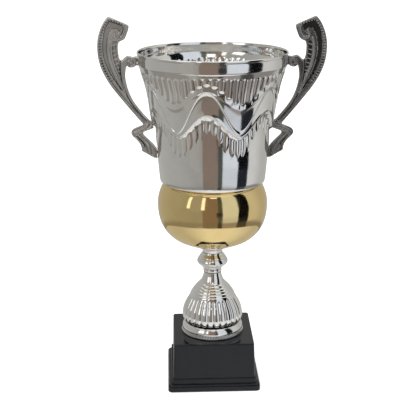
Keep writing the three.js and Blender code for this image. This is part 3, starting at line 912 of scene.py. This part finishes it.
CH = sm([(105.5, 449.5), (108, 451), (114, 453.3), (121, 455.2), (123.5, 452), (126, 447), (128.5, 440), (129.7, 430), (130, 420),
         (129, 412), (127, 405), (124.5, 399), (121.5, 392.5), (118.5, 388), (114.5, 382), (109.5, 374.5), (107, 371.5), (108, 375),
         (111, 380.5), (114.5, 386.5), (117.5, 392), (121, 402), (123.5, 410), (124.8, 420), (124.7, 428), (123.5, 435), (121.5, 441),
         (118, 446), (113, 446.3), (108.5, 442), (106, 448)], True, 0.5)
RIB_OUT = sm([(115.8, 442.5), (117.5, 443.8), (119, 443), (120.5, 440), (122.3, 436), (123.4, 431), (124.1, 425), (124, 418), (123.2, 412),
              (122, 406), (120.5, 401), (118.3, 396), (116.3, 391), (114, 386), (111, 381), (108, 375.5)])
RIB_IN = sm([(118.3, 435), (119.3, 430.5), (120, 425), (120, 419), (119.4, 413), (117.6, 405), (114.6, 397), (112, 391), (109.5, 385),
             (106.5, 377), (103.5, 370)])
PANEL = sm([(113.2, 431.5), (117.2, 432), (118.2, 427), (118.3, 419), (117.6, 413), (115.8, 405.5), (113.0, 398), (110.6, 392.5), (109.0, 391.5),
            (110.2, 397), (111.3, 404), (112.4, 410), (113.4, 418), (113.7, 425)], True, 0.4)
VOL = sm([(102.5, 448.5), (103.2, 445), (104.8, 440), (106.3, 437), (108.5, 435), (111, 435.5), (113, 437.5), (113.4, 440.5), (112, 443)])
VOLG = sm([(104.8, 447.5), (106.5, 441), (108, 438.5), (110, 436.8)])
STRG = sm([(109.2, 408.5), (109.8, 405), (109.5, 395), (108.8, 388), (107.5, 381), (105.2, 374), (102, 366), (98.5, 359.5), (95, 354),
           (90, 347.5), (84, 341), (79.5, 336)])
RIDGE = sm([(77.5, 332), (80, 329.5), (84, 327.3), (90, 324.5), (93.5, 322.8), (95, 321.3), (92, 319.3), (87, 315), (81.5, 309.3),
            (78.8, 305), (77.3, 300), (76.5, 295.5)])
LOWG = sm([(92.3, 317.8), (88, 313.8), (85, 310.5), (83.4, 307), (82.3, 303)])
OUTG = sm([(132.3, 412), (130.4, 404), (127.0, 395.0), (122.5, 386.4), (117.4, 379.0), (112, 371.8), (105, 362.8), (98, 354.4),
           (91, 346.2), (84.6, 338.8), (82.0, 334.8)])
BEADS = sm([(104.5, 450.4), (112.0, 453.2), (119.0, 455.6), (121.6, 455.9), (124.2, 453.4), (126.9, 449.2), (129.0, 444.8), (130.8, 439.8),
            (132.2, 433.5), (132.8, 427.0), (132.9, 420.0), (132.2, 412.0), (130.3, 404.0), (127.4, 396.4), (123.6, 389.4), (119.6, 383.4)])
BALL = np.array((96.3, 406.3))


def relief(P, dist):
    """(height below the 4 mm face, painted shade 0..1) of points on the handle's face."""
    h = np.zeros(len(P))
    groove_shade = np.zeros(len(P))
    bright = np.zeros(len(P))
    wide = np.zeros(len(P))
    R = 1.75
    e = np.clip(R - dist, 0, R)
    h -= R - np.sqrt(np.clip(R * R - e * e, 0, None))

    def groove(poly, width, depth, dark=0.6):
        nonlocal h, groove_shade
        d = seg_dist(P, poly)
        g = np.clip(1 - (d / (width / 2)) ** 2, 0, 1)
        h -= depth * g
        # painted shade along the groove
        np.maximum(groove_shade, dark * g, out=groove_shade)

    def rib(poly, width, height, lit_top=True):
        nonlocal h, groove_shade, wide
        d = seg_dist(P, poly)
        g = np.sqrt(np.clip(1 - (d / (width / 2)) ** 2, 0, 1))
        h += height * g
        # raised rib tops are kept free of painted shade
        if lit_top:
            groove_shade *= 1 - 0.85 * g
            wide *= 1 - 0.85 * g
            np.maximum(bright, g, out=bright)

    def dots(pts, radius, height):
        nonlocal h, groove_shade, wide
        for c in pts:
            d = np.hypot(P[:, 0] - c[0], P[:, 1] - c[1])
            g = np.sqrt(np.clip(1 - (d / radius) ** 2, 0, 1))
            h += height * g
            # raised dots are kept free of painted shade
            groove_shade *= 1 - 0.85 * g
            wide *= 1 - 0.85 * g
            np.maximum(bright, g, out=bright)

    # recessed channel of the blade
    d = seg_dist(P, CH, True)
    sgn = np.where(inside(P, CH), d, -d)
    f = sstep(sgn, -0.15, 0.65)
    h -= 1.9 * f
    # painted shade fills the recessed channel
    wide = np.maximum(wide, 0.95 * f)
    # ladder panel
    d = seg_dist(P, PANEL, True)
    sgn = np.where(inside(P, PANEL), d, -d)
    f = sstep(sgn, -0.1, 0.5)
    h -= 1.5 * f
    # painted shade fills the ladder panel recess
    wide = np.maximum(wide, 0.95 * f)
    for z in (428.0, 421.5, 416, 410.5, 405, 400, 395.3):
        w = np.clip(1 - (np.abs(P[:, 1] - z + 0.35 * (P[:, 0] - 114)) / 0.75) ** 2, 0, 1) ** 0.5 * f
        h += 1.35 * w
        wide *= 1 - 0.8 * w
        bright = np.maximum(bright, w)
    groove(VOLG, 1.6, 1.0, 0.8)
    groove(STRG, 1.7, 1.25, 0.95)
    groove(OUTG, 1.3, 0.8, 0.8)
    groove(LOWG, 1.6, 1.0, 0.85)
    # lower scroll: concave flanks either side of a ridge, darkened with painted shade
    d = seg_dist(P, RIDGE)
    zone = (P[:, 1] < 333)
    flank = np.where(zone, 1.15 * np.clip(np.sin(np.clip((d - 0.7) / 3.0, 0, 1) * math.pi), 0, 1), 0)
    h -= flank
    groove_shade = np.maximum(groove_shade, 0.35 * flank)
    rib(RIB_OUT, 2.0, 1.7)
    groove(RIB_IN, 3.8, 0.85, 0.7)
    rib(RIB_IN, 1.9, 0.75)
    groove(VOL, 4.2, 0.9, 0.7)
    rib(VOL, 2.2, 0.85)
    dots([(112.5, 438.5)], 1.6, 1.5)
    dots([(113.0, 432.9)], 1.1, 0.9)
    dots([(118.0, 437.5)], 1.4, 1.2)
    # beading in a shallow track
    groove(BEADS, 3.4, 1.15, 1.0)
    b = dens(BEADS, 3.3)
    dots(b, 1.2, 1.1)
    ri = dens(RIB_IN, 4.4)
    dots(ri, 0.7, 0.45)
    # scroll ball by the rim
    d = np.hypot(P[:, 0] - BALL[0], P[:, 1] - BALL[1])
    ballz = np.where(d < 4.7, 0.9 * (1 - (d / 4.7) ** 2), 0)
    h += ballz * 0.35
    g = np.clip(1 - ((d - 2.7) / 0.75) ** 2, 0, 1)
    h -= 0.8 * g
    # painted shade in the grooves round the scroll ball
    groove_shade = np.maximum(groove_shade, 0.7 * g)
    g = np.clip(1 - ((d - 4.9) / 0.6) ** 2, 0, 1) * (P[:, 0] > 92.5)
    h -= 0.7 * g
    groove_shade = np.maximum(groove_shade, 0.6 * g)
    h += 0.4 * np.sqrt(np.clip(1 - (np.hypot(P[:, 0] - 97.0, P[:, 1] - 406.7) / 1.3) ** 2, 0, 1))
    # a fine line of painted shade where the recess wall meets its floor
    for poly in (CH, PANEL):
        d = seg_dist(P, poly, True)
        line = np.clip(1 - ((d - 0.35) / 0.8) ** 2, 0, 1) * inside(P, poly)
        groove_shade = np.maximum(groove_shade, 0.8 * line * (1 - bright))
    return np.minimum(h, 0.0), np.clip(groove_shade, 0, 1), bright, np.clip(wide, 0, 1)


def build_handle_grid():
    C = outline_curve(0.5)
    n = len(C)
    tang = np.roll(C, -1, 0) - np.roll(C, 1, 0)
    tang /= np.hypot(tang[:, 0], tang[:, 1])[:, None]
    area = 0.5 * np.sum(C[:, 0] * np.roll(C[:, 1], -1) - np.roll(C[:, 0], -1) * C[:, 1])
    nrm = np.stack([-tang[:, 1], tang[:, 0]], 1) * (1 if area > 0 else -1)
    pts = [C]
    for off in (0.16, 0.5, 1.0, 1.6):
        q = C + nrm * off
        q = q[::1]
        ok = inside(q, C)
        dd = seg_dist(q, C, True)
        q = q[ok & (dd > off * 0.93)]
        pts.append(q)
    g = 0.47
    xs = np.arange(66, 138, g)
    zs = np.arange(288, 461, g * 0.866)
    X, Z = np.meshgrid(xs, zs)
    X = X + (np.arange(len(zs)) % 2)[:, None] * g / 2
    q = np.c_[X.ravel(), Z.ravel()]
    q = q[inside(q, C)]
    dd = seg_dist(q, C, True)
    fineq = (dd > 1.95)
    coarse = (q[:, 1] < 372) | (q[:, 0] < 99)
    # thin the plain lower arm
    keep = fineq & (~coarse | ((np.round(q[:, 1] / (g * 0.866)).astype(int) % 2 == 0)))
    pts.append(q[keep])
    P = np.vstack(pts)
    edges = [(i, (i + 1) % n) for i in range(n)]
    res = delaunay_2d_cdt([Vector(p) for p in P], edges, [], 1, 1e-5, True)
    vo, eo, fo = res[0], res[1], res[2]
    VP = np.array([tuple(v) for v in vo])
    tris = np.array([f for f in fo if len(f) == 3])
    cen = VP[tris].mean(1)
    tris = tris[inside(cen, C)]
    # boundary of the kept triangles, in order
    ar = 0.5 * ((VP[tris[:, 1], 0] - VP[tris[:, 0], 0]) * (VP[tris[:, 2], 1] - VP[tris[:, 0], 1])
                - (VP[tris[:, 2], 0] - VP[tris[:, 0], 0]) * (VP[tris[:, 1], 1] - VP[tris[:, 0], 1]))
    tris = np.where((ar < 0)[:, None], tris[:, ::-1], tris)
    tris = tris[np.abs(ar) > 1e-9]
    used = np.unique(tris)
    remap_ = -np.ones(len(VP), int)
    remap_[used] = np.arange(len(used))
    VP = VP[used]
    tris = remap_[tris]
    cnt = {}
    for t in tris:
        for a, b in ((t[0], t[1]), (t[1], t[2]), (t[2], t[0])):
            cnt[(int(a), int(b))] = cnt.get((int(a), int(b)), 0) + 1
    bnd = [(a, b) for (a, b) in cnt if (b, a) not in cnt]
    dist = seg_dist(VP, C, True)
    onb = np.zeros(len(VP), bool)
    onb[[a for a, _ in bnd]] = True
    dist[onb] = 0.0
    h, groove_shade, bright, wide = relief(VP, dist)
    h[onb] = -1.75
    return VP, tris, bnd, h, groove_shade, bright, wide


def handle_pair():
    VP, tris, bnd, h, groove_shade, bright, wide = build_handle_grid()
    m = len(VP)
    y = 4.0 + h
    for side, name in ((1, "right"), (-1, "left")):
        # painted dark reflection: on the right handle everything but the raised ribs, beads and rungs is darkened to at
        # least half, with painted shade in the recesses; the left handle carries lighter painted shade in its grooves
        # and recesses
        if side > 0:
            tone = np.maximum(np.maximum(groove_shade, wide) * 0.96, 0.50 * (1 - bright))
        else:
            tone = np.maximum(groove_shade * 0.85, wide * 0.22)
        front = np.c_[side * VP[:, 0], -y, VP[:, 1]]
        back = np.c_[side * VP[:, 0], y, VP[:, 1]]
        V = np.vstack([front, back])
        F = [tuple(t) for t in tris.tolist()]
        F += [tuple(t[::-1]) for t in (tris + m).tolist()]
        for a, b in bnd:
            F.append((b, a, a + m, b + m))
        F = outward(V, F)
        new_mesh(f"cast_handle_{name}", V, F, cast, [f"handle_{name}"], sharp=60,
                 point_attr={"painted_shade": np.r_[tone, tone]})


handle_pair()

# ------------------------------------------------- carried-over CAD nodes

for nname, mat in (("base_cover", board), ("ballast_plate", iron), ("spacer_tube", steel)):
    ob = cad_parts[nname]
    ob.data.materials.clear()
    ob.data.materials.append(mat)

# ---------------------------------------------------------------------- stage


def lin(c):
    c = np.asarray(c, float) / 255.0
    return np.where(c <= 0.04045, c / 12.92, ((c + 0.055) / 1.055) ** 2.4)


def surround():
    """Studio walls that only the shiny pieces see."""
    na, ne, R = 720, 240, 3.0
    az = np.linspace(-180, 180, na, endpoint=False)
    el = np.linspace(-89.5, 89.5, ne)
    A, E = np.meshgrid(az, el)

    def band(a0, a1, soft_=0.8):
        return sstep(A, a0 - soft_, a0 + soft_) * (1 - sstep(A, a1 - soft_, a1 + soft_))

    col = np.zeros(A.shape + (3,))
    base = np.clip((-A - 40) / 100, 0, 1)[..., None]
    col[:] = lin((147, 146, 141)) * (1 - base) + lin((167, 166, 163)) * base
    low = (1 - sstep(E, -31, -25))[..., None]
    col = col * (1 - low) + lin((134, 130, 124)) * low

    def paint(mask, c):
        nonlocal col
        col = col * (1 - mask[..., None]) + lin(c) * mask[..., None]

    up = sstep(E, -30, -25)
    paint(band(-23, 8.5), (125, 110, 100))
    paint(band(8.5, 18.3), (75, 78, 70))
    paint(band(18.3, 52), (190, 195, 202))
    paint(band(18.3, 52) * sstep(E, -20, -16), (203, 209, 217))
    paint(band(52, 77), (32, 34, 41))
    paint(band(52, 77) * sstep(E, -21, -18), (13, 14, 17))
    paint(band(77, 179.9, 0.5), (192, 192, 190))
    paint(band(105, 179.9, 20), (170, 169, 165))
    lowm = 1 - up
    paint(lowm * band(-23, 8.5), (117, 108, 99))
    paint(lowm * band(8.5, 18.3), (62, 56, 56))
    paint(lowm * band(18.3, 52), (140, 134, 132))
    paint(lowm * band(52, 77), (70, 68, 66))
    paint(lowm * band(77, 179.9, 0.5), (128, 124, 122))
    # dark opening low on the right of the camera
    low_box = sstep(E, -17, -15) * (1 - sstep(E, -4, -2))
    paint(low_box * band(5.5, 18.3, 1.0), (54, 52, 53))
    # windows and ceiling
    win = sstep(E, 4, 6) * (1 - sstep(E, 32, 34)) * band(-57, -36)
    win = np.maximum(win, sstep(E, 4, 6) * (1 - sstep(E, 37, 39)) * band(-26, -19))
    win = np.maximum(win, sstep(E, 35, 37) * (1 - sstep(E, 40, 42)) * band(-8, 8))
    ceil = sstep(E, 43, 48)
    col = col * (1 - ceil[..., None]) + 0.80 * ceil[..., None]
    col = col * (1 - win[..., None]) + 1.25 * win[..., None]
    col = col / 0.85
    a, e = np.radians(A), np.radians(E)
    G = np.stack([R * np.cos(e) * np.sin(a), -R * np.cos(e) * np.cos(a), R * np.sin(e) + 0.3], -1)
    V = G.reshape(-1, 3)
    n = na
    F = []
    for i in range(ne - 1):
        r0 = i * n
        for j in range(n):
            F.append((r0 + j, r0 + (j + 1) % n, r0 + n + (j + 1) % n, r0 + n + j))
    me = bpy.data.meshes.new("studio_surround")
    me.from_pydata(V.tolist(), [], F)
    at = me.attributes.new("wall", "FLOAT_COLOR", "POINT")
    rgba = np.concatenate([col.reshape(-1, 3), np.ones((len(V), 1))], 1).astype(np.float32)
    at.data.foreach_set("color", rgba.ravel())
    me.update()
    ob = bpy.data.objects.new("studio_surround", me)
    sc.collection.objects.link(ob)
    m = bpy.data.materials.new("studio_surround_light")
    m.use_nodes = True
    nt = m.node_tree
    nt.nodes.clear()
    out = nt.nodes.new("ShaderNodeOutputMaterial")
    em = nt.nodes.new("ShaderNodeEmission")
    att = nt.nodes.new("ShaderNodeAttribute")
    att.attribute_name = "wall"
    nt.links.new(att.outputs["Color"], em.inputs["Color"])
    nt.links.new(em.outputs[0], out.inputs[0])
    m.cycles.emission_sampling = "NONE"
    me.materials.append(m)
    for flag in ("visible_camera", "visible_diffuse", "visible_transmission", "visible_volume_scatter", "visible_shadow"):
        setattr(ob, flag, False)
    return ob


surround()


def floor_material(name, glow):
    m, nt, b = nodes_of(name)
    c = coord(nt)
    n1 = noise(nt, c, 3.0, 3.0, 0.5)
    nt.links.new(ramp(nt, n1, [(0.3, (0.885, 0.885, 0.885)), (0.7, (0.905, 0.905, 0.905))]), b.inputs["Base Color"])
    b.inputs["Roughness"].default_value = 0.85
    b.inputs["Specular IOR Level"].default_value = 0.1
    b.inputs["Emission Color"].default_value = (1, 1, 1, 1)
    b.inputs["Emission Strength"].default_value = glow
    return m


def disc(name, r0, r1, z, mat, glossy):
    n = 96
    a = np.arange(n) * 2 * math.pi / n
    if r0 == 0:
        V = [(0, 0, z)] + [(r1 * math.cos(t), r1 * math.sin(t), z) for t in a]
        F = [(0, 1 + j, 1 + (j + 1) % n) for j in range(n)]
    else:
        V = [(r0 * math.cos(t), r0 * math.sin(t), z) for t in a] + [(r1 * math.cos(t), r1 * math.sin(t), z) for t in a]
        F = [(j, n + j, n + (j + 1) % n, (j + 1) % n) for j in range(n)]
    me = bpy.data.meshes.new(name)
    me.from_pydata(V, [], F)
    me.materials.append(mat)
    ob = bpy.data.objects.new(name, me)
    sc.collection.objects.link(ob)
    ob.visible_glossy = glossy
    return ob


fm = floor_material("pale_floor", 0.42)
disc("floor_near", 0.0, 0.40, -0.0001, fm, False)
disc("floor_far", 0.40, 12.0, -0.0001, fm, False)


def table_material():
    m, nt, b = nodes_of("pale_table_top")
    c = coord(nt)
    n1 = noise(nt, c, 3.0, 3.0, 0.5)
    sp = node(nt, "ShaderNodeSeparateXYZ")
    nt.links.new(c, sp.inputs[0])
    ang = node(nt, "ShaderNodeMath", operation="ARCTAN2")
    nt.links.new(sp.outputs[0], ang.inputs[0])
    neg = node(nt, "ShaderNodeMath", operation="MULTIPLY")
    neg.inputs[1].default_value = -1.0
    nt.links.new(sp.outputs[1], neg.inputs[0])
    nt.links.new(neg.outputs[0], ang.inputs[1])
    # painted light and shade: the table is lighter in front of the trophy and darker at the sides and back, set by
    # direction round it
    unit = remap(nt, ang.outputs[0], 0.0, 1.0, -math.pi, math.pi)
    side = (0.42, 0.42, 0.41)
    tone = ramp(nt, unit, [(0.0, side), (0.30, side), (0.46, (0.66, 0.66, 0.65)), (0.60, (0.66, 0.66, 0.65)), (0.78, side), (1.0, side)])
    fleck = node(nt, "ShaderNodeMix", data_type="RGBA", blend_type="MULTIPLY")
    fleck.inputs["Factor"].default_value = 1.0
    nt.links.new(tone, fleck.inputs["A"])
    nt.links.new(ramp(nt, n1, [(0.3, (0.97, 0.97, 0.97)), (0.7, (1.0, 1.0, 1.0))]), fleck.inputs["B"])
    nt.links.new(fleck.outputs["Result"], b.inputs["Base Color"])
    b.inputs["Roughness"].default_value = 0.9
    b.inputs["Specular IOR Level"].default_value = 0.0
    return m


top = disc("table_top", 0.0, 0.365, -0.0003, table_material(), True)
for flag in ("visible_camera", "visible_diffuse", "visible_transmission", "visible_shadow"):
    setattr(top, flag, False)


def card(name, x0, x1, y, z0, z1, rgb):
    """A small reflector that only the shiny pieces see."""
    me = bpy.data.meshes.new(name)
    me.from_pydata([(x0, y, z0), (x1, y, z0), (x1, y, z1), (x0, y, z1)], [], [(0, 1, 2, 3)])
    m = bpy.data.materials.new(name + "_glow")
    m.use_nodes = True
    nt = m.node_tree
    nt.nodes.clear()
    out = nt.nodes.new("ShaderNodeOutputMaterial")
    em = nt.nodes.new("ShaderNodeEmission")
    em.inputs["Color"].default_value = (*[float(v) for v in lin(rgb)], 1)
    nt.links.new(em.outputs[0], out.inputs[0])
    m.cycles.emission_sampling = "NONE"
    me.materials.append(m)
    ob = bpy.data.objects.new(name, me)
    sc.collection.objects.link(ob)
    for flag in ("visible_camera", "visible_diffuse", "visible_transmission", "visible_volume_scatter", "visible_shadow"):
        setattr(ob, flag, False)
    return ob


card("reflector_left", -0.160, -0.074, -0.165, 0.24, 0.450, (166, 163, 159))

world = bpy.data.worlds.new("studio")
sc.world = world
world.use_nodes = True
wn = world.node_tree.nodes["Background"] if "Background" in world.node_tree.nodes else world.node_tree.nodes.new("ShaderNodeBackground")
wn.inputs["Color"].default_value = (1.0, 1.0, 1.0, 1)
wn.inputs["Strength"].default_value = 1.0


def area(name, loc, target, size, power, colour=(1, 1, 1)):
    l = bpy.data.lights.new(name, "AREA")
    l.shape = "DISK"
    l.size = size
    l.energy = power
    l.color = colour
    o = bpy.data.objects.new(name, l)
    sc.collection.objects.link(o)
    o.location = loc
    o.rotation_euler = (Vector(target) - Vector(loc)).to_track_quat("-Z", "Y").to_euler()
    o.visible_glossy = False
    o.visible_camera = False
    return o


area("key_soft", (-1.1, -1.3, 1.7), (0, 0, 0.2), 1.1, 16)
area("fill_soft", (1.4, -0.9, 1.2), (0, 0, 0.2), 1.2, 7)

# ---------------------------------------------------------------------- camera

cam = bpy.data.cameras.new("camera")
cam.sensor_width = 36.0
cam.lens = 80.91
cam.dof.use_dof = False
co = bpy.data.objects.new("camera", cam)
sc.collection.objects.link(co)
az, yaw, pitch = math.radians(-2.7), math.radians(0.158), math.radians(17.1)
h = Vector((-math.sin(az), math.cos(az), 0))
h = Matrix.Rotation(yaw, 3, "Z") @ h
fwd = (h * math.cos(pitch) + Vector((0, 0, -math.sin(pitch)))).normalized()
co.location = (-0.05304, -1.12475, 0.5683)
co.rotation_euler = fwd.to_track_quat("-Z", "Y").to_euler()
sc.camera = co

sc.view_settings.view_transform = "Standard"
sc.view_settings.look = "None"
